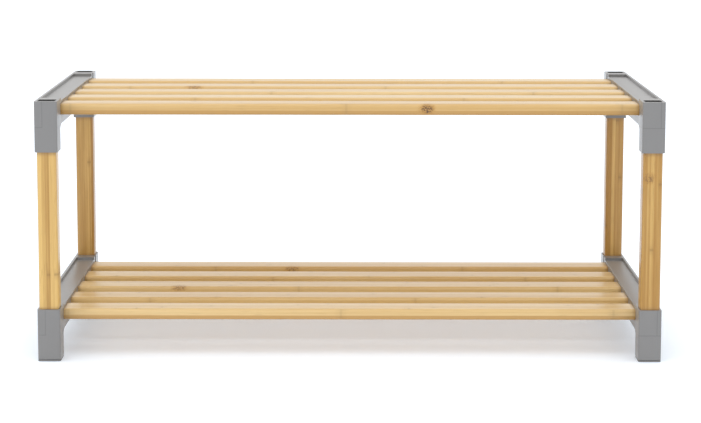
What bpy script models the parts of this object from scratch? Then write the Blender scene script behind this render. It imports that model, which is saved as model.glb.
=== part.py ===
"""Low two-tier bamboo bench and shoe shelf.

Four moulded brackets, two to a tier, hold five bamboo slats each way across. Four square bamboo posts
plug into the brackets' corner sockets and join the tiers, and foot caps close the sockets underneath.
Run with: blender --background --python part.py

The origin is at floor level under the middle of the bench. X runs along the slats, the front faces -Y,
and +Z is up. All lengths are in metres.
"""
import math

import bmesh
import bpy

# --- driving dimensions -------------------------------------------------------------------------------
WIDTH = 0.700                 # over the outer faces of the brackets
DEPTH = 0.372                 # over the front and rear faces of the brackets
HEIGHT = 0.2936               # floor to bracket rims
GAP = 0.0003                  # clearance between pieces that touch

BLOCK_WIDTH = 0.0257          # corner block of a bracket, along X
BLOCK_DEPTH = 0.0276          # along Y
BLOCK_HEIGHT = 0.0568
BLOCK_CORNER = 0.0022         # radius of its upright end corners
PARTITION = 0.0020            # floor between the upper and the lower socket
GUSSET_RADIUS = 0.017         # hollow corner where a rail meets its block

RAIL_HEIGHT = 0.0292
RAIL_SETBACK = 0.0008         # inner face of the rail, behind the inner face of the block
RAIL_OUTER_WALL = 0.0022
RAIL_INNER_WALL = 0.0020
TROUGH_DEPTH = 0.0032         # shallow step along the top of the rail, open to the slats
TROUGH_OUTER_RIM = 0.0028
TROUGH_LAND = 0.013           # full-height land between a block and the step
MOUTH_WIDTH = 0.0198          # open socket on top of the upper brackets, along X
MOUTH_DEPTH = 0.0190          # along Y
MOUTH_CORNER = 0.0025
WEB = 0.0020                  # wall under the step and round the slat pockets
LEDGE = 0.0022                # shelf under a slat end

SLAT_COUNT = 5
SLAT_WIDTH = 0.0370
SLAT_THICKNESS = 0.0128
SLAT_CORNER = 0.0036
SLAT_PITCH = 0.0660
SLAT_DROP = 0.0060            # slat tops below the bracket rims
SLAT_TENON = 0.0147           # length of a slat end inside the rail
SLAT_END_CHAMFER = 0.0005

POST_WIDTH = 0.0222           # along X
POST_DEPTH = 0.0228           # along Y
POST_CORNER = 0.0035
POST_END_CHAMFER = 0.0008

CAP_FLANGE = 0.0021           # foot cap: plate under the block
CAP_PLUG_HEIGHT = 0.0100
CAP_WALL = 0.0020
CAP_EDGE = 0.0006             # chamfer round the plate

SCREW_SHANK_RADIUS = 0.0016
SCREW_HEAD_RADIUS = 0.0035
SCREW_HEAD_HEIGHT = 0.0022
SCREW_SHANK_LENGTH = 0.0105
SCREW_INSET = 0.0080          # from the inner face of the rail to the screw's axis
RECESS_RADIUS = 0.0014        # drive recess in the screw head
RECESS_DEPTH = 0.0012

# --- derived dimensions -------------------------------------------------------------------------------
BRACKET_X = (WIDTH - BLOCK_WIDTH) / 2
LOWER_BRACKET_Z = CAP_FLANGE + GAP
UPPER_BRACKET_Z = HEIGHT - BLOCK_HEIGHT
BLOCK_Y = (DEPTH - BLOCK_DEPTH) / 2
BLOCK_INNER_Y = DEPTH / 2 - BLOCK_DEPTH
RAIL_BOTTOM = BLOCK_HEIGHT - RAIL_HEIGHT
RAIL_FACE_X = BLOCK_WIDTH / 2 - RAIL_SETBACK
SLAT_TOP = BLOCK_HEIGHT - SLAT_DROP
SLAT_BOTTOM = SLAT_TOP - SLAT_THICKNESS
SLAT_LENGTH = 2 * (BRACKET_X - RAIL_FACE_X + SLAT_TENON)
POCKET_BOTTOM = SLAT_BOTTOM - GAP
LEDGE_BOTTOM = POCKET_BOTTOM - LEDGE
TROUGH_FLOOR = BLOCK_HEIGHT - TROUGH_DEPTH
PARTITION_BOTTOM = RAIL_BOTTOM - PARTITION / 2
PARTITION_TOP = RAIL_BOTTOM + PARTITION / 2
SCREW_X = RAIL_FACE_X - SCREW_INSET

SIDES = (("left", -1), ("right", 1))
ENDS = (("front", -1), ("rear", 1))
TIERS = (("shelf", "lower", LOWER_BRACKET_Z), ("seat", "upper", UPPER_BRACKET_Z))


# --- materials ----------------------------------------------------------------------------------------
def make_material(name, colour, roughness, metallic=0.0):
    """A plain Principled material."""
    material = bpy.data.materials.new(name)
    material.use_nodes = True
    shader = material.node_tree.nodes["Principled BSDF"]
    shader.inputs["Base Color"].default_value = (*colour, 1.0)
    shader.inputs["Roughness"].default_value = roughness
    shader.inputs["Metallic"].default_value = metallic
    material.diffuse_color = (*colour, 1.0)
    return material


# --- outlines and solids ------------------------------------------------------------------------------
def arc(centre, radius, start, end, segments):
    """Points on a circular arc, in degrees, both ends included."""
    angles = [math.radians(start + (end - start) * i / segments) for i in range(segments + 1)]
    return [(centre[0] + radius * math.cos(a), centre[1] + radius * math.sin(a)) for a in angles]


def rounded_rectangle(width, height, radius, segments=4):
    """Outline of a rectangle with round corners, centred on zero, anticlockwise."""
    x, y = width / 2 - radius, height / 2 - radius
    corners = (((x, y), 0), ((-x, y), 90), ((-x, -y), 180), ((x, -y), 270))
    return [p for centre, turn in corners for p in arc(centre, radius, turn, turn + 90, segments)]


def rectangle(x0, x1, y0, y1):
    """Outline of a rectangle, anticlockwise."""
    return [(x0, y0), (x1, y0), (x1, y1), (x0, y1)]


def add_prism(bm, outline, start, end, axis="Z", centre=(0.0, 0.0)):
    """Add a closed prism to bm: the outline drawn across the axis and carried from start to end.

    The outline's own two directions are X, Y for axis Z and Y, Z for axis X.
    """
    def place(u, v, w):
        u, v = u + centre[0], v + centre[1]
        return (u, v, w) if axis == "Z" else (w, u, v)

    face = bm.faces.new([bm.verts.new(place(u, v, start)) for u, v in outline])
    swept = bmesh.ops.extrude_face_region(bm, geom=[face])["geom"]
    moved = [item for item in swept if isinstance(item, bmesh.types.BMVert)]
    step = (0, 0, end - start) if axis == "Z" else (end - start, 0, 0)
    bmesh.ops.translate(bm, verts=moved, vec=step)
    return face


def add_box(bm, x, y, z):
    """Add a closed box to bm from three (low, high) pairs."""
    add_prism(bm, rectangle(*x, *y), *z)


def mesh_from(bm, name):
    """Turn bm into a mesh with its faces pointing out."""
    bmesh.ops.recalc_face_normals(bm, faces=bm.faces)
    mesh = bpy.data.meshes.new(name)
    bm.to_mesh(mesh)
    bm.free()
    return mesh


def add_object(name, mesh):
    """Link a new object to the scene."""
    item = bpy.data.objects.new(name, mesh)
    bpy.context.collection.objects.link(item)
    return item


def cutter(name, build):
    """A wire-drawn tool object whose mesh the function build draws."""
    bm = bmesh.new()
    build(bm)
    item = add_object(name, mesh_from(bm, name))
    item.hide_render = True
    item.display_type = "WIRE"
    return item


def cut(item, tool):
    """Take tool out of item."""
    modifier = item.modifiers.new(tool.name, "BOOLEAN")
    modifier.operation = "DIFFERENCE"
    modifier.solver = "EXACT"
    modifier.object = tool


def chamfer_edges(item, width):
    """Chamfer every edge that turns by more than 50 degrees."""
    modifier = item.modifiers.new("edge_chamfer", "BEVEL")
    modifier.width = width
    modifier.segments = 1
    modifier.limit_method = "ANGLE"
    modifier.angle_limit = math.radians(50)


def finished_mesh(item, name, material, tools=()):
    """Evaluate item's modifiers into a new mesh, then remove item and its tools."""
    graph = bpy.context.evaluated_depsgraph_get()
    mesh = bpy.data.meshes.new_from_object(item.evaluated_get(graph))
    mesh.name = name
    mesh.materials.clear()
    mesh.materials.append(material)
    mesh.shade_smooth()
    mesh.set_sharp_from_angle(angle=math.radians(40))
    for spent in (item, *tools):
        bpy.data.objects.remove(spent)
    return mesh


# --- bracket ------------------------------------------------------------------------------------------
def slat_positions():
    """The Y of each slat's middle, front first."""
    return [(i - (SLAT_COUNT - 1) / 2) * SLAT_PITCH for i in range(SLAT_COUNT)]


def bracket_side_outline():
    """Side view in Y and Z: a rail along the top between two full-height blocks."""
    outer, inner = DEPTH / 2, BLOCK_INNER_Y
    foot = RAIL_BOTTOM - GUSSET_RADIUS
    rear_gusset = arc((inner - GUSSET_RADIUS, foot), GUSSET_RADIUS, 0, 90, 6)
    front_gusset = arc((GUSSET_RADIUS - inner, foot), GUSSET_RADIUS, 90, 180, 6)
    front_block = [(-inner, 0), (-outer, 0), (-outer, BLOCK_HEIGHT)]
    rear_block = [(outer, BLOCK_HEIGHT), (outer, 0), (inner, 0)]
    return front_block + rear_block + rear_gusset + front_gusset


def draw_bracket_body(bm):
    """The solid outer shape, with the blocks' end corners rounded."""
    add_prism(bm, bracket_side_outline(), -BLOCK_WIDTH / 2, BLOCK_WIDTH / 2, axis="X")
    bmesh.ops.recalc_face_normals(bm, faces=bm.faces)
    upright = [e for e in bm.edges
               if all(abs(abs(v.co.y) - DEPTH / 2) < 1e-6 for v in e.verts)
               and abs(e.verts[0].co.z - e.verts[1].co.z) > BLOCK_HEIGHT / 2]
    bmesh.ops.bevel(bm, geom=upright, offset=BLOCK_CORNER, segments=3, profile=0.5, affect="EDGES")


def draw_setback(bm):
    """Brings the rail's inner face behind the blocks' inner faces."""
    length = (-BLOCK_INNER_Y, BLOCK_INNER_Y)
    add_box(bm, (RAIL_FACE_X, BLOCK_WIDTH), length, (-BLOCK_HEIGHT, 2 * BLOCK_HEIGHT))


def add_sockets(bm, outline, start, stop):
    """One socket in each block of a bracket."""
    for _, end in ENDS:
        add_prism(bm, outline, start, stop, centre=(0, end * BLOCK_Y))


def post_outline():
    """Outline of a socket that clears a post."""
    return rounded_rectangle(POST_WIDTH + 2 * GAP, POST_DEPTH + 2 * GAP, POST_CORNER + GAP)


def draw_lower_sockets(bm):
    """The sockets below the partition: for a post's top, or for a foot cap."""
    add_sockets(bm, post_outline(), -BLOCK_HEIGHT, PARTITION_BOTTOM)


def draw_post_sockets(bm):
    """The sockets above the partition of a lower bracket, for the posts' feet."""
    add_sockets(bm, post_outline(), PARTITION_TOP, 2 * BLOCK_HEIGHT)


def draw_stacking_sockets(bm):
    """The open sockets above the partition of an upper bracket."""
    outline = rounded_rectangle(MOUTH_WIDTH, MOUTH_DEPTH, MOUTH_CORNER)
    add_sockets(bm, outline, PARTITION_TOP, 2 * BLOCK_HEIGHT)


def draw_trough(bm):
    """The shallow step along the top of the rail, behind an outer rim."""
    reach = BLOCK_INNER_Y - TROUGH_LAND
    add_box(bm, (TROUGH_OUTER_RIM - BLOCK_WIDTH / 2, BLOCK_WIDTH), (-reach, reach),
            (TROUGH_FLOOR, 2 * BLOCK_HEIGHT))


def draw_underside(bm):
    """The hollow between the rail's side walls, up to the ledges under the slat ends."""
    add_box(bm, (RAIL_OUTER_WALL - BLOCK_WIDTH / 2, RAIL_FACE_X - RAIL_INNER_WALL),
            (-BLOCK_INNER_Y, BLOCK_INNER_Y), (-BLOCK_HEIGHT, LEDGE_BOTTOM))


def draw_rail_cores(bm):
    """Deeper hollows between neighbouring slat pockets, up to the web under the step."""
    half = SLAT_WIDTH / 2 + GAP + WEB
    for y in slat_positions()[:-1]:
        add_box(bm, (RAIL_OUTER_WALL - BLOCK_WIDTH / 2, RAIL_FACE_X - RAIL_INNER_WALL),
                (y + half, y + SLAT_PITCH - half), (LEDGE_BOTTOM - LEDGE, TROUGH_FLOOR - WEB))


def draw_pockets(bm):
    """The slat pockets, entered through the rail's inner wall."""
    outline = rounded_rectangle(SLAT_WIDTH + 2 * GAP, SLAT_THICKNESS + 2 * GAP, SLAT_CORNER + GAP)
    for y in slat_positions():
        add_prism(bm, outline, RAIL_FACE_X - SLAT_TENON - GAP, BLOCK_WIDTH, axis="X",
                  centre=(y, SLAT_TOP - SLAT_THICKNESS / 2))


def screw_hole_ring():
    """Outline of a hole that clears a screw's shank."""
    return arc((0, 0), SCREW_SHANK_RADIUS + GAP, 0, 324, 9)


def draw_screw_holes(bm):
    """One hole through the ledge under each slat end."""
    for y in slat_positions():
        add_prism(bm, screw_hole_ring(), LEDGE_BOTTOM - LEDGE, SLAT_BOTTOM + LEDGE, centre=(SCREW_X, y))


def bracket_mesh(material, draw_upper_sockets):
    """A bracket as used on the left: outer face at -X, inner face at +X, standing on z = 0."""
    bm = bmesh.new()
    draw_bracket_body(bm)
    body = add_object("bracket_body", mesh_from(bm, "bracket_body"))
    hollows = (draw_setback, draw_lower_sockets, draw_upper_sockets, draw_trough, draw_underside,
               draw_rail_cores, draw_pockets, draw_screw_holes)
    tools = [cutter(draw.__name__, draw) for draw in hollows]
    for tool in tools:
        cut(body, tool)
    return finished_mesh(body, "bracket", material, tools)


# --- bamboo -------------------------------------------------------------------------------------------
def slat_mesh(material):
    """A slat along X, centred on zero, with a pilot hole near each end of its underside."""
    bm = bmesh.new()
    outline = rounded_rectangle(SLAT_WIDTH, SLAT_THICKNESS, SLAT_CORNER)
    add_prism(bm, outline, -SLAT_LENGTH / 2, SLAT_LENGTH / 2, axis="X")
    body = add_object("slat_body", mesh_from(bm, "slat_body"))
    chamfer_edges(body, SLAT_END_CHAMFER)

    def draw_pilot_holes(bm):
        depth = SCREW_SHANK_LENGTH - LEDGE - GAP
        for _, side in SIDES:
            add_prism(bm, screw_hole_ring(), -SLAT_THICKNESS, depth - SLAT_THICKNESS / 2,
                      centre=(side * (BRACKET_X - SCREW_X), 0))

    tool = cutter("pilot_holes", draw_pilot_holes)
    cut(body, tool)
    return finished_mesh(body, "slat", material, [tool])


def post_mesh(material, length):
    """A square post with round corners, standing on z = 0."""
    bm = bmesh.new()
    add_prism(bm, rounded_rectangle(POST_WIDTH, POST_DEPTH, POST_CORNER), 0, length)
    body = add_object("post_body", mesh_from(bm, "post_body"))
    chamfer_edges(body, POST_END_CHAMFER)
    return finished_mesh(body, "post", material)


# --- small parts --------------------------------------------------------------------------------------
def turned_solid(bm, profile, segments):
    """Revolve a profile of (radius, z) pairs, axis to axis, about Z."""
    rings = []
    for radius, z in profile:
        if radius == 0:
            rings.append([bm.verts.new((0, 0, z))])
        else:
            angles = [2 * math.pi * i / segments for i in range(segments)]
            rings.append([bm.verts.new((radius * math.cos(a), radius * math.sin(a), z)) for a in angles])
    for low, high in zip(rings, rings[1:]):
        for i in range(segments):
            j = (i + 1) % segments
            corners = [low[i % len(low)], low[j % len(low)], high[j % len(high)], high[i % len(high)]]
            bm.faces.new(list(dict.fromkeys(corners)))


def screw_mesh(material):
    """A pan-head screw pointing up, the top of its head on z = 0."""
    head, shank = SCREW_HEAD_RADIUS, SCREW_SHANK_RADIUS
    low = -SCREW_HEAD_HEIGHT
    profile = [(0, low + RECESS_DEPTH), (RECESS_RADIUS, low), (0.75 * head, low), (head, low / 2),
               (head, 0), (shank, 0), (shank, SCREW_SHANK_LENGTH - 2 * shank), (0, SCREW_SHANK_LENGTH)]
    bm = bmesh.new()
    turned_solid(bm, profile, 10)
    return finished_mesh(add_object("screw_body", mesh_from(bm, "screw_body")), "screw", material)


def foot_cap_mesh(material):
    """A cap standing on z = 0: a plate the size of the block and a hollow plug for its socket."""
    bm = bmesh.new()
    add_prism(bm, rounded_rectangle(BLOCK_WIDTH, BLOCK_DEPTH, BLOCK_CORNER, 3), 0, CAP_FLANGE)
    body = add_object("cap_body", mesh_from(bm, "cap_body"))
    chamfer_edges(body, CAP_EDGE)

    def draw_plug(bm):
        add_prism(bm, rounded_rectangle(POST_WIDTH, POST_DEPTH, POST_CORNER), CAP_FLANGE / 2,
                  CAP_FLANGE + CAP_PLUG_HEIGHT)

    def draw_plug_hollow(bm):
        width, depth = POST_WIDTH - 2 * CAP_WALL, POST_DEPTH - 2 * CAP_WALL
        outline = rounded_rectangle(width, depth, POST_CORNER - CAP_WALL)
        add_prism(bm, outline, CAP_FLANGE, 2 * CAP_PLUG_HEIGHT)

    plug, hollow = cutter("plug", draw_plug), cutter("plug_hollow", draw_plug_hollow)
    cut(body, plug)
    body.modifiers["plug"].operation = "UNION"
    cut(body, hollow)
    return finished_mesh(body, "foot_cap", material, [plug, hollow])


# --- assembly -----------------------------------------------------------------------------------------
def place(name, mesh, location, parent, turn=0.0):
    """Put a piece in the bench."""
    item = add_object(name, mesh)
    item.location = location
    item.rotation_euler = (0, 0, turn)
    item.parent = parent


def main():
    for item in list(bpy.data.objects):
        bpy.data.objects.remove(item)

    bench = add_object("bench", None)
    plastic = make_material("grey_moulded_plastic", (0.29, 0.29, 0.30), 0.48)
    brackets = {"lower": bracket_mesh(plastic, draw_post_sockets),
                "upper": bracket_mesh(plastic, draw_stacking_sockets)}
    slat = slat_mesh(make_material("bamboo_slat", (0.72, 0.53, 0.29), 0.42))
    post_bottom = LOWER_BRACKET_Z + PARTITION_TOP + GAP
    post_top = UPPER_BRACKET_Z + PARTITION_BOTTOM - GAP
    post = post_mesh(make_material("bamboo_post", (0.62, 0.41, 0.19), 0.42), post_top - post_bottom)
    screw = screw_mesh(make_material("zinc_plated_steel", (0.62, 0.62, 0.60), 0.30, 1.0))
    cap = foot_cap_mesh(make_material("dark_grey_plastic", (0.20, 0.20, 0.21), 0.60))

    for tier, level, bottom in TIERS:
        for side, sign in SIDES:
            turn = 0.0 if sign < 0 else math.pi
            place(f"bracket_{level}_{side}", brackets[level], (sign * BRACKET_X, 0, bottom), bench, turn)
        for number, y in enumerate(slat_positions(), start=1):
            middle = bottom + SLAT_TOP - SLAT_THICKNESS / 2
            place(f"{tier}_slat_{number}", slat, (0, y, middle), bench)
            for side, sign in SIDES:
                where = (sign * (BRACKET_X - SCREW_X), y, bottom + LEDGE_BOTTOM - GAP)
                place(f"{tier}_screw_{side}_{number}", screw, where, bench)
    for end, front in ENDS:
        for side, sign in SIDES:
            x, y = sign * BRACKET_X, front * BLOCK_Y
            place(f"post_{end}_{side}", post, (x, y, post_bottom), bench)
            place(f"foot_cap_{end}_{side}", cap, (x, y, 0), bench)


main()
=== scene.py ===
"""Looks for a low two-tier bamboo bench: lacquered bamboo slats and posts in grey moulded brackets.

The packed model is the fixed frame. Each operator makes one kind of piece around its nodes, and the
last one sets out the floor, the lights and the camera. All lengths are in metres.
"""
import math

import bmesh
import bpy
import numpy as np
from bpy.props import FloatProperty, FloatVectorProperty, PointerProperty
from mathutils import Matrix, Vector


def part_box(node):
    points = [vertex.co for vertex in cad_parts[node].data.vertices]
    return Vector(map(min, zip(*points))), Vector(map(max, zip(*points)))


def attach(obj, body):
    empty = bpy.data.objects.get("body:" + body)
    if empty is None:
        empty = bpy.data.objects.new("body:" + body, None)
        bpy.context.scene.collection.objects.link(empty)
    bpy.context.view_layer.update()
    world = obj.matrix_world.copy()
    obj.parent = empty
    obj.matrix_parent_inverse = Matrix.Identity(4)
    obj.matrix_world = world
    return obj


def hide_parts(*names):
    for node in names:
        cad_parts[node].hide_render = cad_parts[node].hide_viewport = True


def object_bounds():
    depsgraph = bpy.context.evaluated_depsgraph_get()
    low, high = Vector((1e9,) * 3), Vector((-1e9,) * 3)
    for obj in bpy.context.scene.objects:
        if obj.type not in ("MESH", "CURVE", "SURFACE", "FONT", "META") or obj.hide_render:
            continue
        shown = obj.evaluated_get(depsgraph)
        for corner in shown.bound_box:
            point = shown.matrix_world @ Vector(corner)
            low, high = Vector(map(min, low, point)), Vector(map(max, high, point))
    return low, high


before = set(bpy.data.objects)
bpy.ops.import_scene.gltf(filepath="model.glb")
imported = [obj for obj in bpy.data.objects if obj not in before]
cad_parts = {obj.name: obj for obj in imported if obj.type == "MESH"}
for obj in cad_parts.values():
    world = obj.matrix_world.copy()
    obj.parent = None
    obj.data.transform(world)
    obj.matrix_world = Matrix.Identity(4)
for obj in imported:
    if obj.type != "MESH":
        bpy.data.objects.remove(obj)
CAD_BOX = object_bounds()

bl_info = {
    "name": "Two-tier bamboo bench",
    "version": (1, 0, 0),
    "blender": (4, 5, 0),
    "location": "3D View > Sidebar > Bench",
    "description": "Bamboo slats and posts, moulded brackets and a studio stage for a low slatted bench",
    "category": "Object",
}

BODY = "root"
MILLIMETRE = 0.001
SAME_PLACE = 0.01 * MILLIMETRE
SMOOTH_ANGLE = math.radians(40)

# --- this bench's own marks ---------------------------------------------------------------------------
# Witness lines: how far below the rim, then how far from the middle on the left and on the right.
WITNESS_DROP = 0.0290
WITNESS_LEFT, WITNESS_RIGHT = 0.3410, 0.3448
# How much deeper in colour than the others a bar is.
TONES = {
    "seat_slat_1": 0.12, "shelf_slat_1": -0.22, "shelf_slat_5": 0.05, "post_front_left": -0.12,
    "post_front_right": 0.24, "post_rear_left": 0.20, "post_rear_right": 0.25,
}
# Knots: place as shares of the bar's box, then reach in metres, both along X, Y and Z.
KNOTS = {
    "seat_slat_1": {"dark_knot": ((0.628, 0.0, 0.56), (0.0074, 0.008, 0.0056))},
    "seat_slat_4": {"faint_knot": ((0.222, 0.04, 0.90), (0.0085, 0.0060, 0.0030))},
    "shelf_slat_3": {"faint_knot": ((0.200, 0.06, 0.86), (0.0085, 0.0080, 0.0032))},
    "shelf_slat_5": {"faint_knot": ((0.394, 0.0, 0.75), (0.0085, 0.0060, 0.0034))},
    "post_front_right": {"faint_knot": ((0.30, 0.0, 0.765), (0.0070, 0.006, 0.0060))},
}
NO_KNOT = ((50.0, 50.0, 50.0), (1.0, 1.0, 1.0))


# --- what the frame says ------------------------------------------------------------------------------
def nodes_named(*words):
    """The frame's nodes whose names hold every word, in order."""
    return sorted(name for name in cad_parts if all(word in name for word in words))


def node_points(name):
    """The vertices of a frame node, one row each."""
    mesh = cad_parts[name].data
    points = np.empty(len(mesh.vertices) * 3, np.float32)
    mesh.vertices.foreach_get("co", points)
    return points.reshape(-1, 3).astype(float)


def block_face(name):
    """Distance from the middle of a bracket to the face of a block that looks along the rail."""
    points = node_points(name)
    low = points[points[:, 2] < points[:, 2].min() + MILLIMETRE]
    return float(np.abs(low[:, 1]).min())


UPPER_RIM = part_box("bracket_upper_right")[1].z
LOWER_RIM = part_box("bracket_lower_right")[1].z
HALF_DEPTH = CAD_BOX[1].y
# Where a corner block's inner face and its middle are.
BLOCK_FACE_Y = block_face("bracket_lower_left")
BLOCK_Y = (BLOCK_FACE_Y + HALF_DEPTH) / 2
BLOCK_X = (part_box("bracket_upper_right")[0].x + CAD_BOX[1].x) / 2


# --- shader maths -------------------------------------------------------------------------------------
class Signal:
    """One output socket of a material. Sums on it add Math nodes."""

    def __init__(self, finish, socket):
        self.finish = finish
        self.socket = socket

    def maths(self, operation, *values):
        """A Math node."""
        return self.finish.node("ShaderNodeMath", {"operation": operation}, dict(enumerate(values)))

    def __add__(self, other):
        return self.maths("ADD", self, other)

    def __radd__(self, other):
        return self.maths("ADD", other, self)

    def __sub__(self, other):
        return self.maths("SUBTRACT", self, other)

    def __rsub__(self, other):
        return self.maths("SUBTRACT", other, self)

    def __mul__(self, other):
        return self.maths("MULTIPLY", self, other)

    def __rmul__(self, other):
        return self.maths("MULTIPLY", other, self)

    def __truediv__(self, other):
        return self.maths("DIVIDE", self, other)

    def __gt__(self, other):
        return self.maths("GREATER_THAN", self, other)

    def __abs__(self):
        return self.maths("ABSOLUTE", self)

    def floor(self):
        return self.maths("FLOOR", self)

    def fraction(self):
        return self.maths("FRACT", self)

    def larger(self, other):
        return self.maths("MAXIMUM", self, other)

    def ramp(self, low, high):
        """0 at low and 1 at high, smoothly, whichever of the two is the larger."""
        sockets = {0: self, 1: low, 2: high, 3: 0.0, 4: 1.0}
        return self.finish.node("ShaderNodeMapRange", {"interpolation_type": "SMOOTHSTEP"}, sockets)


class Finish:
    """A material being made: its node tree and its Principled shader."""

    def __init__(self, name, **constants):
        self.material = bpy.data.materials.new(name)
        self.material.use_nodes = True
        self.tree = self.material.node_tree
        self.shader = self.tree.nodes["Principled BSDF"]
        for socket, value in constants.items():
            self.shader.inputs[socket.replace("_", " ")].default_value = value

    def node(self, kind, settings=None, sockets=None, output=0):
        """Add a node: its type, its settings, then the values or links of its sockets."""
        added = self.tree.nodes.new(kind)
        for key, value in (settings or {}).items():
            setattr(added, key, value)
        for key, value in (sockets or {}).items():
            self.feed(added.inputs[key], value)
        return Signal(self, added.outputs[output])

    def feed(self, socket, value):
        """Link or set one input socket."""
        if isinstance(value, Signal):
            self.tree.links.new(value.socket, socket)
        else:
            socket.default_value = value

    def set(self, **signals):
        """Feed the shader's varying sockets."""
        for socket, signal in signals.items():
            self.feed(self.shader.inputs[socket.replace("_", " ")], signal)

    def attribute(self, name):
        """A vector attribute of the piece's mesh."""
        return self.node("ShaderNodeAttribute", {"attribute_name": name}, output="Vector")

    def position(self):
        """Object coordinates, which for every piece are the frame's own."""
        return self.node("ShaderNodeTexCoord", output="Object")

    def split(self, vector):
        """The three parts of a vector."""
        parts = self.node("ShaderNodeSeparateXYZ", None, {0: vector})
        return [Signal(self, socket) for socket in parts.socket.node.outputs]

    def join(self, x, y, z):
        """A vector from three parts."""
        return self.node("ShaderNodeCombineXYZ", None, {0: x, 1: y, 2: z})

    def stretch(self, vector, scale):
        """A vector times a vector, part by part."""
        return self.node("ShaderNodeVectorMath", {"operation": "MULTIPLY"}, {0: vector, 1: scale})

    def length(self, vector):
        """The length of a vector."""
        return self.node("ShaderNodeVectorMath", {"operation": "LENGTH"}, {0: vector}, "Value")

    def noise(self, vector, scale=1.0, detail=2.0, roughness=0.5):
        """Soft noise between 0 and 1."""
        values = {"Vector": vector, "Scale": scale, "Detail": detail, "Roughness": roughness}
        return self.node("ShaderNodeTexNoise", None, values, "Fac")

    def chance(self, vector):
        """A random number between 0 and 1 for each value of a vector."""
        return self.node("ShaderNodeTexWhiteNoise", None, {"Vector": vector}, "Value")

    def mix(self, factor, first, second):
        """First colour where factor is 0, second where it is 1."""
        return self.node("ShaderNodeMix", {"data_type": "RGBA"}, {0: factor, 6: first, 7: second}, 2)

    def shade(self, colour, brightness):
        """A colour times a number."""
        values = {0: colour[:3], "Scale": brightness}
        return self.node("ShaderNodeVectorMath", {"operation": "SCALE"}, values)

    def relief(self, height, depth):
        """A Bump node fed to the shader's normal: the height counts in units of the depth, in metres."""
        sockets = {"Strength": 1.0, "Distance": depth, "Height": height}
        self.feed(self.shader.inputs["Normal"], self.node("ShaderNodeBump", None, sockets, "Normal"))


def rgba(colour, shares=(1.0, 1.0, 1.0)):
    """A colour property as four numbers, keeping a share each of its red, green and blue."""
    return (*(share * part for share, part in zip(shares, colour)), 1.0)


# --- finishes -----------------------------------------------------------------------------------------
# Bamboo's patterns: how fine they are, per metre along, across and through the grain.
WANDER = (3.0, 40.0, 40.0)
BANDS = (2.0, 260.0, 260.0)
FIBRES = (14.0, 1900.0, 1900.0)
DASHES = (55.0, 2600.0, 2600.0)
CLOUDS = (7.0, 45.0, 45.0)
RAGGED = (300.0, 900.0, 900.0)
SPECKS = (480.0, 620.0, 620.0)
# Distance between the joints of a cane, and the depth of the surface's relief.
JOINT_SPACING = 0.31
BAMBOO_RELIEF = 0.06 * MILLIMETRE
# Shares that the darker marks keep of the deep tone.
PLY_SHARES, JOINT_SHARES, DASH_SHARES = (0.82, 0.72, 0.52), (0.55,) * 3, (0.62,) * 3
POCKET_SHADE_BROWN = (0.30, 0.15, 0.045, 1.0)
# Colour of the painted shade where a bar enters its bracket's pocket.
KNOT_BROWN = (0.43, 0.21, 0.030, 1.0)
HEART_BROWN = (0.095, 0.036, 0.004, 1.0)


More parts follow.
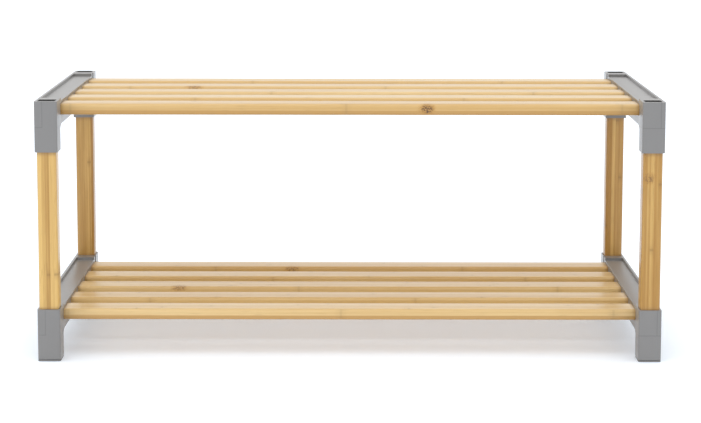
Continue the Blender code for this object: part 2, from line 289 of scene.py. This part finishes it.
def bamboo_finish(name, pale, deep, strip, contrast, ply, sunk):
    """Lacquered laminated bamboo, in strips glued side by side.

    The mesh attribute grain holds the distance along, across and through the piece, moved by a length of
    its own for each piece. The attribute tone holds how deep the piece's colour is, the distance from its
    nearer end and the height above its underside. dark_knot and faint_knot hold the distance from its
    knots, as shares of their reach. A deeper ply reaches up to the height ply, and a painted shade darkens
    the colour where the bar enters its pocket, at the distance sunk from the end.
    """
    finish = Finish(name, Specular_IOR_Level=0.5, Coat_Roughness=0.24, Coat_Weight=0.50)
    grain = finish.attribute("grain")
    along, across, _through = finish.split(grain)

    wander = finish.noise(finish.stretch(grain, WANDER), detail=1.0)
    lane = (across + (wander - 0.5) * (0.4 * MILLIMETRE)) / strip
    strip_chance = finish.chance(finish.join(lane.floor(), 0.0, 0.0))
    glue_line = abs(lane.fraction() - 0.5).ramp(0.47, 0.5)

    bands = finish.noise(finish.stretch(grain, BANDS), detail=3.0, roughness=0.6)
    fibres = finish.noise(finish.stretch(grain, FIBRES), detail=2.0, roughness=0.7)
    dashes = finish.noise(finish.stretch(grain, DASHES), detail=0.0).ramp(0.66, 0.78)
    clouds = finish.noise(finish.stretch(grain, CLOUDS), detail=2.0)

    # A ring where the cane had a joint, at another place in each strip.
    joint_place = ((along + strip_chance * 7.0) / JOINT_SPACING).fraction()
    from_joint = abs(joint_place - 0.5) * JOINT_SPACING
    joint_ring = (from_joint.ramp(2.2 * MILLIMETRE, 0.4 * MILLIMETRE) * 0.6
                  + from_joint.ramp(9.0 * MILLIMETRE, 1.5 * MILLIMETRE) * 0.4)

    tone, from_end, raised = finish.split(finish.attribute("tone"))
    lower_ply = raised.ramp(ply + 0.4 * MILLIMETRE, ply - 0.2 * MILLIMETRE)
    # Painted shade: darker where the bar goes into its bracket's pocket.
    pocket_shade = from_end.ramp(sunk + 5.0 * MILLIMETRE, sunk)
    depth = (bands * 0.85 + fibres * 0.35 + clouds * 0.35 + (strip_chance - 0.5) * 0.45 * contrast - 0.3
             + tone)
    colour = finish.mix(depth.ramp(0.15, 0.85), rgba(pale), rgba(deep))
    colour = finish.mix(lower_ply * 0.85, colour, rgba(deep, PLY_SHARES))
    colour = finish.mix(joint_ring * 0.42 * contrast, colour, rgba(deep, JOINT_SHARES))
    colour = finish.mix(dashes * 0.30, colour, rgba(deep, DASH_SHARES))
    colour = finish.mix(glue_line * 0.20 * contrast, colour, rgba(deep, JOINT_SHARES))
    colour = finish.mix(pocket_shade * (0.30 + fibres * 0.35), colour, POCKET_SHADE_BROWN)

    # Knots: a ragged brown rim round a speckled heart.
    ragged = finish.noise(finish.stretch(grain, RAGGED), detail=3.0) - 0.5
    specks = finish.noise(finish.stretch(grain, SPECKS), detail=1.0).ramp(0.44, 0.56)
    dark = finish.length(finish.attribute("dark_knot")) + ragged * 1.3
    faint = finish.length(finish.attribute("faint_knot")) + ragged * 1.6
    rim = dark.ramp(1.55, 0.75).larger(faint.ramp(1.7, 0.6) * 0.6)
    heart = dark.ramp(1.15, 0.5).larger(faint.ramp(1.3, 0.3) * 0.6)
    colour = finish.mix(rim * 0.80, colour, KNOT_BROWN)
    colour = finish.mix(heart * (0.15 + specks * 0.80), colour, HEART_BROWN)

    roughness = 0.34 + bands * 0.10 + dashes * 0.12 + rim * 0.10
    height = fibres * 0.30 + bands * 0.35 - dashes * 0.5 - glue_line * 0.5 - heart * 1.2 + joint_ring * 0.6
    finish.set(Base_Color=colour, Roughness=roughness)
    finish.relief(height, BAMBOO_RELIEF)
    return finish.material


# The painted shade inside an open socket: where it begins and where it is full, as distances from the
# socket's middle along X and along Y, and below the rim.
SOCKET_SHADE_X = (10.4 * MILLIMETRE, 10.1 * MILLIMETRE)
SOCKET_SHADE_Y = (10.0 * MILLIMETRE, 9.7 * MILLIMETRE)
SOCKET_SHADE_DROP = (0.2 * MILLIMETRE, 0.9 * MILLIMETRE)
PLASTIC_RELIEF = 0.05 * MILLIMETRE


def plastic_finish(name, colour, roughness, witness_lines_and_socket_shade=False):
    """Satin moulded plastic with a fine spark-eroded grain and flow marks.

    The witness lines are those that the tool's inserts leave on the corner blocks: one line round each
    block at the height of the rail's underside, and one upright line from there to the rim. Inside the
    open sockets the colour is darkened as painted shade.
    """
    finish = Finish(name, Specular_IOR_Level=0.5, Coat_Weight=0.65, Coat_Roughness=0.32)
    place = finish.position()
    x, y, z = finish.split(place)
    grain = finish.noise(place, 2600.0, detail=1.0)
    pits = finish.noise(place, 900.0, detail=2.0, roughness=0.6)
    clouds = finish.noise(place, 38.0, detail=3.0)
    flow = finish.noise(finish.stretch(place, (30.0, 30.0, 6.0)), detail=1.0)
    brightness = 0.93 + clouds * 0.06 + flow * 0.05 + pits * 0.03
    surface = grain * 0.35 + pits * 0.65
    if witness_lines_and_socket_shade:
        upper = z > (UPPER_RIM + LOWER_RIM) / 2
        drop = upper * (UPPER_RIM - LOWER_RIM) + LOWER_RIM - z
        on_block = abs(y).ramp(BLOCK_FACE_Y, BLOCK_FACE_Y + MILLIMETRE)
        on_end = abs(y).ramp(HALF_DEPTH - 1.2 * MILLIMETRE, HALF_DEPTH - 0.8 * MILLIMETRE)
        # The left blocks' ends have no level line on the inner side of the upright one.
        plain_left = x.ramp(-WITNESS_LEFT, -WITNESS_LEFT + 0.4 * MILLIMETRE) * x.ramp(0.0, -0.3)
        level = line_near(drop, WITNESS_DROP) * on_block * (1.0 - plain_left * on_end)
        left, right = line_near(x, -WITNESS_LEFT), line_near(x, WITNESS_RIGHT)
        above = drop.ramp(WITNESS_DROP + 0.2 * MILLIMETRE, WITNESS_DROP - 0.2 * MILLIMETRE)
        line = level.larger(left.larger(right) * above * on_end)
        # Painted shade: the colour is darkened inside the open sockets, below the rim.
        inside = (abs(abs(x) - BLOCK_X).ramp(*SOCKET_SHADE_X) * abs(abs(y) - BLOCK_Y).ramp(*SOCKET_SHADE_Y)
                  * drop.ramp(*SOCKET_SHADE_DROP) * upper)
        brightness = brightness * (1.0 - line * 0.22) * (1.0 - inside * 0.72)
        surface = surface - line * 2.2
    shine = roughness - 0.05 + clouds * 0.06 + pits * 0.05
    finish.set(Base_Color=finish.shade(colour, brightness), Roughness=shine)
    finish.relief(surface, PLASTIC_RELIEF)
    return finish.material


def line_near(value, target):
    """1 where a value is at a target, falling to 0 over half a millimetre."""
    return abs(value - target).ramp(0.6 * MILLIMETRE, 0.15 * MILLIMETRE)


def zinc_finish(name, colour):
    """Zinc plating: bright, with faint turning marks and a yellowish bloom."""
    finish = Finish(name, Metallic=1.0)
    place = finish.position()
    bloom = finish.noise(place, 420.0, detail=2.0)
    marks = finish.noise(finish.stretch(place, (400.0, 400.0, 5200.0)), detail=1.0)
    yellowed = rgba(colour, (1.0, 0.97, 0.86))
    finish.set(Base_Color=finish.mix(bloom.ramp(0.4, 0.7), rgba(colour), yellowed),
               Roughness=0.24 + bloom * 0.14 + marks * 0.08)
    finish.relief(marks, 0.02 * MILLIMETRE)
    return finish.material


GLOW_COLOUR = (0.84, 0.96, 1.12, 1.0)


def floor_finish(name, colour, glow):
    """A seamless pale light table with a barely uneven sheen."""
    finish = Finish(name, Specular_IOR_Level=0.25, Emission_Color=GLOW_COLOUR, Emission_Strength=glow)
    clouds = finish.noise(finish.position(), 1.3, detail=3.0)
    finish.set(Base_Color=finish.shade(colour, 0.985 + clouds * 0.03), Roughness=0.62 + clouds * 0.1)
    return finish.material


# --- meshes -------------------------------------------------------------------------------------------
def new_piece(name, points, faces, material, node, attributes=None):
    """A mesh object that stands for a node."""
    mesh = bpy.data.meshes.new(name)
    mesh.from_pydata(points, [], faces)
    for key, rows in (attributes or {}).items():
        layer = mesh.attributes.new(key, "FLOAT_VECTOR", "POINT")
        layer.data.foreach_set("vector", np.asarray(rows, np.float32).ravel())
    mesh.materials.append(material)
    mesh.shade_smooth()
    mesh.set_sharp_from_angle(angle=SMOOTH_ANGLE)
    mesh.validate()
    piece = bpy.data.objects.new(name, mesh)
    adopt(piece, node)


def adopt(piece, node):
    """Put a piece in the scene and fix it to the frame in place of a node."""
    bpy.context.collection.objects.link(piece)
    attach(piece, BODY)
    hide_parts(node)


def grid_faces(rings, points_per_ring):
    """Quads between neighbouring closed rings, and one face over each end ring."""
    row = np.arange(rings - 1)[:, None] * points_per_ring
    column = np.arange(points_per_ring)[None, :]
    following = (column + 1) % points_per_ring
    quads = np.stack([row + column, row + following, row + points_per_ring + following,
                      row + points_per_ring + column], axis=-1).reshape(-1, 4).tolist()
    first = np.arange(points_per_ring)[::-1].tolist()
    last = (np.arange(points_per_ring) + (rings - 1) * points_per_ring).tolist()
    return quads + [first, last]


# Points over each quarter of a bar's section, over the rounding of an end, and along the bar.
CORNER_POINTS, END_POINTS, LENGTH_POINTS = 9, 5, 42
# The ripples that a plane leaves: how high, and from how short to how long.
RIPPLE = 0.04 * MILLIMETRE
SHORT_RIPPLE, LONG_RIPPLE = 0.09, 0.24


def rounded_section(half_width, half_height, radius):
    """Section of a bar, anticlockwise: a rectangle whose corners are quarter circles of the radius."""
    turn = np.linspace(0, math.pi / 2, CORNER_POINTS)
    corners = []
    for quarter, (sx, sy) in enumerate(((1, 1), (-1, 1), (-1, -1), (1, -1))):
        angle = turn + quarter * math.pi / 2
        corners.append(np.stack([sx * (half_width - radius) + radius * np.cos(angle),
                                 sy * (half_height - radius) + radius * np.sin(angle)], axis=-1))
    return np.concatenate(corners)


def bar_surface(low, high, axis, radius, end_round, random):
    """A planed bar filling a box: a rounded section carried along X or Z.

    The place on the surface at distance s along the bar and at section point q is
    q * shrink(s) + ripple(s), where shrink falls by a quarter circle of end_round at each end, and ripple
    is the sum of two slow sines a few hundredths of a millimetre high, which a plane leaves in wood.
    """
    size, middle = high - low, (high + low) / 2
    others = [i for i in range(3) if i != axis]
    half_u, half_v = size[others[0]] / 2 - RIPPLE, size[others[1]] / 2 - RIPPLE
    section = rounded_section(half_u, half_v, radius)

    bend = np.linspace(0, math.pi / 2, END_POINTS)
    end_travel, end_inset = end_round * (1 - np.cos(bend)), end_round * (1 - np.sin(bend))
    inner = np.linspace(end_round, size[axis] - end_round, LENGTH_POINTS)[1:-1]
    along = np.concatenate([end_travel, inner, (size[axis] - end_travel)[::-1]])
    inset = np.concatenate([end_inset, np.zeros(len(inner)), end_inset[::-1]])

    shrink_u = 1 - inset / half_u
    shrink_v = 1 - inset / half_v
    phase = random.uniform(0, 2 * math.pi, 4)
    pace = 2 * math.pi / random.uniform(SHORT_RIPPLE, LONG_RIPPLE, 4)
    waves = np.sin(along[:, None] * pace + phase) * RIPPLE / 2
    points = np.empty((len(along), len(section), 3))
    points[..., axis] = (along + low[axis])[:, None]
    points[..., others[0]] = section[:, 0] * shrink_u[:, None] + (waves[:, 0] + waves[:, 1])[:, None]
    points[..., others[1]] = section[:, 1] * shrink_v[:, None] + (waves[:, 2] + waves[:, 3])[:, None]
    points[..., others[0]] += middle[others[0]]
    points[..., others[1]] += middle[others[1]]
    return points.reshape(-1, 3), grid_faces(len(along), len(section))


def bamboo_bars(nodes, axis, radius, end_round, material, seed):
    """A bamboo bar in place of each node, with its grain and knots as attributes."""
    random = np.random.default_rng(seed)
    for node in nodes:
        low, high = (np.array(corner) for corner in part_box(node))
        points, faces = bar_surface(low, high, axis, radius, end_round, random)
        from_low = points - low
        order = [axis] + [i for i in range(3) if i != axis]
        shift = (random.uniform(0, 3.0), random.integers(1, 40) * 0.05, random.uniform(0, 1.0))
        from_end = np.minimum(from_low[:, axis], high[axis] - points[:, axis])
        tone = np.full(len(points), TONES.get(node, 0.0))
        attributes = {"grain": from_low[:, order] + np.array(shift),
                      "tone": np.stack([tone, from_end, from_low[:, 2]], axis=-1)}
        for knot in ("dark_knot", "faint_knot"):
            share, reach = KNOTS.get(node, {}).get(knot, NO_KNOT)
            attributes[knot] = (from_low - np.array(share) * (high - low)) / np.array(reach)
        name = node.replace("_", "-") + "_bamboo"
        new_piece(name, points, faces, material, node, attributes)


# Share of the whole moulded radius that the lesser edges get, and the faces across a radius.
LESSER_SHARE, RADIUS_FACES = 0.42, 3


def moulded_copy(node, material, edge_round, full_round):
    """A node's shape with its flat faces made whole and every sharp edge given a moulded radius.

    full_round takes the ends of all edges as two arrays of points and tells which edges get the whole
    radius; the others get a little under half of it.
    """
    bm = bmesh.new()
    bm.from_mesh(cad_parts[node].data)
    bmesh.ops.remove_doubles(bm, verts=bm.verts, dist=SAME_PLACE)
    bmesh.ops.dissolve_limit(bm, angle_limit=math.radians(1), verts=bm.verts, edges=bm.edges)
    ends = np.array([[corner.co for corner in edge.verts] for edge in bm.edges])
    sharp = np.array([edge.calc_face_angle(0.0) > SMOOTH_ANGLE for edge in bm.edges])
    mesh = bpy.data.meshes.new(node + "_moulding")
    bm.to_mesh(mesh)
    bm.free()
    weights = np.where(sharp, np.where(full_round(ends[:, 0], ends[:, 1]), 1.0, LESSER_SHARE), 0.0)
    layer = mesh.attributes.new("bevel_weight_edge", "FLOAT", "EDGE")
    layer.data.foreach_set("value", weights.astype(np.float32))
    mesh.materials.clear()
    mesh.materials.append(material)
    mesh.shade_smooth()
    mesh.set_sharp_from_angle(angle=SMOOTH_ANGLE)
    piece = bpy.data.objects.new(node + "_moulding", mesh)
    bevel = piece.modifiers.new("moulded_edges", "BEVEL")
    bevel.width = edge_round
    bevel.segments = RADIUS_FACES
    bevel.limit_method = "WEIGHT"
    bevel.harden_normals = True
    adopt(piece, node)


# How far out from a block's middle its outline edges begin, and how far below the rim the rail's inner
# edge may be.
OUTLINE_FROM = 11.9 * MILLIMETRE
RAIL_TOP_DROP = 3.6 * MILLIMETRE


def bracket_full_round(first, second):
    """The outline edges of the blocks' tops, and the rail's top inner edge."""
    level = np.abs(first[:, 2] - second[:, 2]) < SAME_PLACE
    rim = np.minimum(np.abs(first[:, 2] - UPPER_RIM), np.abs(first[:, 2] - LOWER_RIM))
    from_x = np.abs(np.abs((first + second)[:, 0] / 2) - BLOCK_X)
    from_y = np.abs((first + second)[:, 1] / 2)
    outline = (from_x > OUTLINE_FROM) | (from_y > HALF_DEPTH - 1.5 * MILLIMETRE)
    block_top = (rim < 0.1 * MILLIMETRE) & outline
    rail_top = (rim > MILLIMETRE) & (rim < RAIL_TOP_DROP) & (from_x > OUTLINE_FROM)
    return level & (block_top | rail_top)


def cap_full_round(first, second):
    """The edges on the floor."""
    return np.maximum(first[:, 2], second[:, 2]) < 0.1 * MILLIMETRE


SCREW_TURNS = 48
SHANK_RADIUS, HEAD_HEIGHT, THREAD_PITCH = 1.6 * MILLIMETRE, 2.2 * MILLIMETRE, 1.2 * MILLIMETRE
CROSS_ARM = 0.24 * MILLIMETRE


def screw_surface(centre, top, bottom, head_radius):
    """A pan-head screw with a cross recess, as a grid of turn angle and distance along its profile.

    The head's face looks down and is a shallow dome. Inside the arms of a cross, where the smaller of |x|
    and |y| is under CROSS_ARM and the larger under the arms' reach, the face is sunk to the recess floor,
    and it comes back to the dome at twice CROSS_ARM and a fifth beyond the reach.
    """
    angle = np.linspace(0, 2 * math.pi, SCREW_TURNS, endpoint=False)
    face_radii = np.linspace(0.06, 0.98, 18) * head_radius
    rim = head_radius * np.array([1.0, 1.0, 0.98])
    rim_z = bottom + HEAD_HEIGHT * np.array([0.30, 0.92, 1.0])
    thread_z = np.linspace(bottom + HEAD_HEIGHT, top - 1.8 * SHANK_RADIUS, 40)
    thread = SHANK_RADIUS * (0.90 + 0.08 * np.sin(2 * math.pi * (thread_z - bottom) / THREAD_PITCH))
    tip = SHANK_RADIUS * np.array([0.62, 0.28, 0.04])
    tip_z = top - SHANK_RADIUS * np.array([1.0, 0.45, 0.0])
    radii = np.concatenate([face_radii, rim, thread, tip])
    heights = np.concatenate([np.zeros(len(face_radii)), rim_z, thread_z, tip_z])

    x, y = radii[:, None] * np.cos(angle), radii[:, None] * np.sin(angle)
    z = np.repeat(heights[:, None], SCREW_TURNS, axis=1)
    face = slice(0, len(face_radii))
    dome = bottom + 0.30 * HEAD_HEIGHT * (face_radii[:, None] / head_radius) ** 3
    reach = 0.58 * head_radius
    narrow = np.minimum(np.abs(x[face]), np.abs(y[face]))
    wide = np.maximum(np.abs(x[face]), np.abs(y[face]))
    inside = (np.clip((2 * CROSS_ARM - narrow) / CROSS_ARM, 0, 1)
              * np.clip((reach - wide) / (0.2 * reach) + 1, 0, 1))
    z[face] = dome + 0.55 * HEAD_HEIGHT * inside
    points = np.stack([x + centre[0], y + centre[1], z], axis=-1)
    return points.reshape(-1, 3), grid_faces(len(radii), SCREW_TURNS)


# --- properties ---------------------------------------------------------------------------------------
def colour_property(name, description, default):
    """A colour that a user would change."""
    return FloatVectorProperty(name=name, description=description, default=default, subtype="COLOR",
                               size=3, min=0.0, max=1.0)


def length_property(name, description, default):
    """A length that a user would change."""
    return FloatProperty(name=name, description=description, default=default, unit="LENGTH", min=0.0,
                         precision=5)


class BENCH_PG_bamboo(bpy.types.PropertyGroup):
    """Bamboo sizes and colours"""

    slat_pale: colour_property("Slat, pale", "Palest tone of the slats", (0.70, 0.50, 0.225))
    slat_deep: colour_property("Slat, deep", "Deepest tone of the slats", (0.55, 0.335, 0.105))
    post_pale: colour_property("Post, pale", "Palest tone of the posts", (0.66, 0.420, 0.125))
    post_deep: colour_property("Post, deep", "Deepest tone of the posts", (0.37, 0.180, 0.020))
    slat_corner: length_property("Slat corner", "Radius along the slats' edges", 0.0036)
    post_corner: length_property("Post corner", "Radius along the posts' edges", 0.0035)
    slat_strip: length_property("Slat strip", "Width of the strips a slat is laminated from", 0.0062)
    post_strip: length_property("Post strip", "Width of the strips a post is laminated from", 0.0043)


class BENCH_PG_moulding(bpy.types.PropertyGroup):
    """Moulded parts and fasteners"""

    bracket_colour: colour_property("Bracket", "Plastic of the brackets", (0.188, 0.182, 0.177))
    cap_colour: colour_property("Foot cap", "Plastic of the foot caps", (0.178, 0.173, 0.169))
    screw_colour: colour_property("Screw", "Zinc plating", (0.66, 0.66, 0.64))
    edge_round: length_property("Edge radius", "Radius of the brackets' widest edges", 0.0009)
    cap_round: length_property("Cap radius", "Radius of the foot caps' lower edges", 0.0013)


class BENCH_PG_stage(bpy.types.PropertyGroup):
    """Floor, lights and camera"""

    floor_colour: colour_property("Floor", "Colour of the floor", (0.86, 0.90, 0.95))
    floor_glow: FloatProperty(name="Floor glow", description="Light given off by the table", default=0.2)
    camera_distance: length_property("Camera distance", "From the bench's front to the camera", 2.3786)
    camera_height: length_property("Camera height", "From the floor to the camera", 0.54871)
    camera_pitch: FloatProperty(name="Camera pitch", description="Angle that the camera looks down",
                                default=math.radians(7.524), subtype="ANGLE")
    camera_roll: FloatProperty(name="Camera roll", description="Turn of the camera about its own axis",
                               default=math.radians(0.084), subtype="ANGLE")
    lens: FloatProperty(name="Lens", description="Focal length in millimetres", default=111.06,
                        unit="CAMERA")
    sky: FloatProperty(name="Surrounding light", description="Strength of the even light all round",
                       default=1.0)
    overhead: FloatProperty(name="Overhead light", description="Strength of the wide overhead bank",
                            default=0.85)
    front: FloatProperty(name="Front light", description="Power of the front softbox in watts",
                         default=4.0)


# --- operators ----------------------------------------------------------------------------------------
ALONG_X, ALONG_Z = 0, 2


class BENCH_OT_slats(bpy.types.Operator):
    """Make the ten bamboo slats"""

    bl_idname = "bench.slats"
    bl_label = "Slats"

    def execute(self, context):
        look = context.scene.bench_bamboo
        material = bamboo_finish("bamboo_slat", look.slat_pale, look.slat_deep, look.slat_strip,
                                 contrast=0.7, ply=5.1 * MILLIMETRE, sunk=14.7 * MILLIMETRE)
        bamboo_bars(nodes_named("_slat_"), ALONG_X, look.slat_corner, 0.5 * MILLIMETRE, material,
                    seed=11)
        return {"FINISHED"}


class BENCH_OT_posts(bpy.types.Operator):
    """Make the four bamboo posts"""

    bl_idname = "bench.posts"
    bl_label = "Posts"

    def execute(self, context):
        look = context.scene.bench_bamboo
        material = bamboo_finish("bamboo_post", look.post_pale, look.post_deep, look.post_strip,
                                 contrast=1.2, ply=-MILLIMETRE, sunk=27.0 * MILLIMETRE)
        bamboo_bars(nodes_named("post_"), ALONG_Z, look.post_corner, 0.7 * MILLIMETRE, material,
                    seed=23)
        return {"FINISHED"}


class BENCH_OT_brackets(bpy.types.Operator):
    """Give the four brackets their moulded edges and finish"""

    bl_idname = "bench.brackets"
    bl_label = "Brackets"

    def execute(self, context):
        look = context.scene.bench_moulding
        material = plastic_finish("bracket_plastic", look.bracket_colour, 0.40, witness_lines_and_socket_shade=True)
        for node in nodes_named("bracket_"):
            moulded_copy(node, material, look.edge_round, bracket_full_round)
        return {"FINISHED"}


class BENCH_OT_foot_caps(bpy.types.Operator):
    """Make the four foot caps"""

    bl_idname = "bench.foot_caps"
    bl_label = "Foot caps"

    def execute(self, context):
        look = context.scene.bench_moulding
        material = plastic_finish("cap_plastic", look.cap_colour, 0.50)
        for node in nodes_named("foot_cap"):
            moulded_copy(node, material, look.cap_round, cap_full_round)
        return {"FINISHED"}


class BENCH_OT_screws(bpy.types.Operator):
    """Make the screws under the slat ends"""

    bl_idname = "bench.screws"
    bl_label = "Screws"

    def execute(self, context):
        material = zinc_finish("screw_steel", context.scene.bench_moulding.screw_colour)
        for node in nodes_named("_screw_"):
            low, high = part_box(node)
            points, faces = screw_surface((low + high) / 2, high.z, low.z, (high.x - low.x) / 2)
            new_piece(node + "_turned", points, faces, material, node)
        return {"FINISHED"}


class BENCH_OT_stage(bpy.types.Operator):
    """Set out the floor, the lights and the camera"""

    bl_idname = "bench.stage"
    bl_label = "Stage"

    def execute(self, context):
        look = context.scene.bench_stage
        add_floor(look.floor_colour, look.floor_glow)
        add_sky(context.scene, look.sky)
        add_bank("overhead_bank", look.overhead)
        add_softbox("front_softbox", look.front)
        add_camera(context.scene, look)
        context.scene.view_settings.view_transform = "Standard"
        return {"FINISHED"}


# --- stage --------------------------------------------------------------------------------------------
FLOOR_REACH = 30.0
BANK_TURN, BANK_SPREAD = (math.radians(18), math.radians(-6), 0), math.radians(75)
SOFTBOX_PLACE, SOFTBOX_TURN = (-0.9, -3.0, 1.3), (math.radians(68), 0, math.radians(-16))
SOFTBOX_SIZE = 2.2
SENSOR_WIDTH = 36.0
CAMERA_SHIFT = (0.001, -0.0806)


def add_floor(colour, glow):
    """A wide floor under the bench."""
    corners = [(x * FLOOR_REACH, y * FLOOR_REACH, 0) for x, y in ((-1, -1), (1, -1), (1, 1), (-1, 1))]
    mesh = bpy.data.meshes.new("floor")
    mesh.from_pydata(corners, [], [(0, 1, 2, 3)])
    mesh.materials.append(floor_finish("floor", colour, glow))
    floor = bpy.data.objects.new("floor", mesh)
    bpy.context.collection.objects.link(floor)


def add_sky(scene, strength):
    """Even white light all round."""
    scene.world = bpy.data.worlds.new("studio")
    scene.world.use_nodes = True
    background = scene.world.node_tree.nodes["Background"]
    background.inputs["Color"].default_value = (1.0, 1.0, 1.0, 1.0)
    background.inputs["Strength"].default_value = strength


def add_bank(name, strength):
    """A bank of lamps so wide and high that it lights the whole floor alike."""
    data = bpy.data.lights.new(name, "SUN")
    data.angle = BANK_SPREAD
    data.energy = strength
    bank = bpy.data.objects.new(name, data)
    bank.rotation_euler = BANK_TURN
    bpy.context.collection.objects.link(bank)


def add_softbox(name, power):
    """A square area light in front of the bench."""
    data = bpy.data.lights.new(name, "AREA")
    data.shape = "SQUARE"
    data.size = SOFTBOX_SIZE
    data.energy = power
    light = bpy.data.objects.new(name, data)
    light.location = SOFTBOX_PLACE
    light.rotation_euler = SOFTBOX_TURN
    bpy.context.collection.objects.link(light)


def add_camera(scene, look):
    """The camera in front of the bench, looking slightly down."""
    data = bpy.data.cameras.new("camera")
    data.lens = look.lens
    data.sensor_width = SENSOR_WIDTH
    data.shift_x, data.shift_y = CAMERA_SHIFT
    camera = bpy.data.objects.new("camera", data)
    tilt = Matrix.Rotation(math.radians(90) - look.camera_pitch, 4, "X")
    camera.rotation_euler = (tilt @ Matrix.Rotation(look.camera_roll, 4, "Z")).to_euler()
    camera.location = (0.0, CAD_BOX[0].y - look.camera_distance, look.camera_height)
    bpy.context.collection.objects.link(camera)
    scene.camera = camera


# --- panel and registration ---------------------------------------------------------------------------
OPERATORS = (BENCH_OT_brackets, BENCH_OT_posts, BENCH_OT_slats, BENCH_OT_foot_caps, BENCH_OT_screws,
             BENCH_OT_stage)
GROUPS = {"bench_bamboo": BENCH_PG_bamboo, "bench_moulding": BENCH_PG_moulding,
          "bench_stage": BENCH_PG_stage}


class BENCH_PT_panel(bpy.types.Panel):
    """Everything that makes the bench"""

    bl_idname = "BENCH_PT_panel"
    bl_label = "Bench"
    bl_space_type = "VIEW_3D"
    bl_region_type = "UI"
    bl_category = "Bench"

    def draw(self, context):
        for key, group in GROUPS.items():
            box = self.layout.box()
            box.label(text=group.__doc__)
            for name in group.__annotations__:
                box.prop(getattr(context.scene, key), name)
        for operator in OPERATORS:
            self.layout.operator(operator.bl_idname)


def register():
    for group in GROUPS.values():
        bpy.utils.register_class(group)
    for key, group in GROUPS.items():
        setattr(bpy.types.Scene, key, PointerProperty(type=group))
    for operator in (*OPERATORS, BENCH_PT_panel):
        bpy.utils.register_class(operator)


def unregister():
    for operator in reversed((*OPERATORS, BENCH_PT_panel)):
        bpy.utils.unregister_class(operator)
    for key, group in GROUPS.items():
        delattr(bpy.types.Scene, key)
        bpy.utils.unregister_class(group)


def main():
    register()
    for operator in OPERATORS:
        family, name = operator.bl_idname.split(".")
        getattr(getattr(bpy.ops, family), name)()


if __name__ == "__main__":
    main()
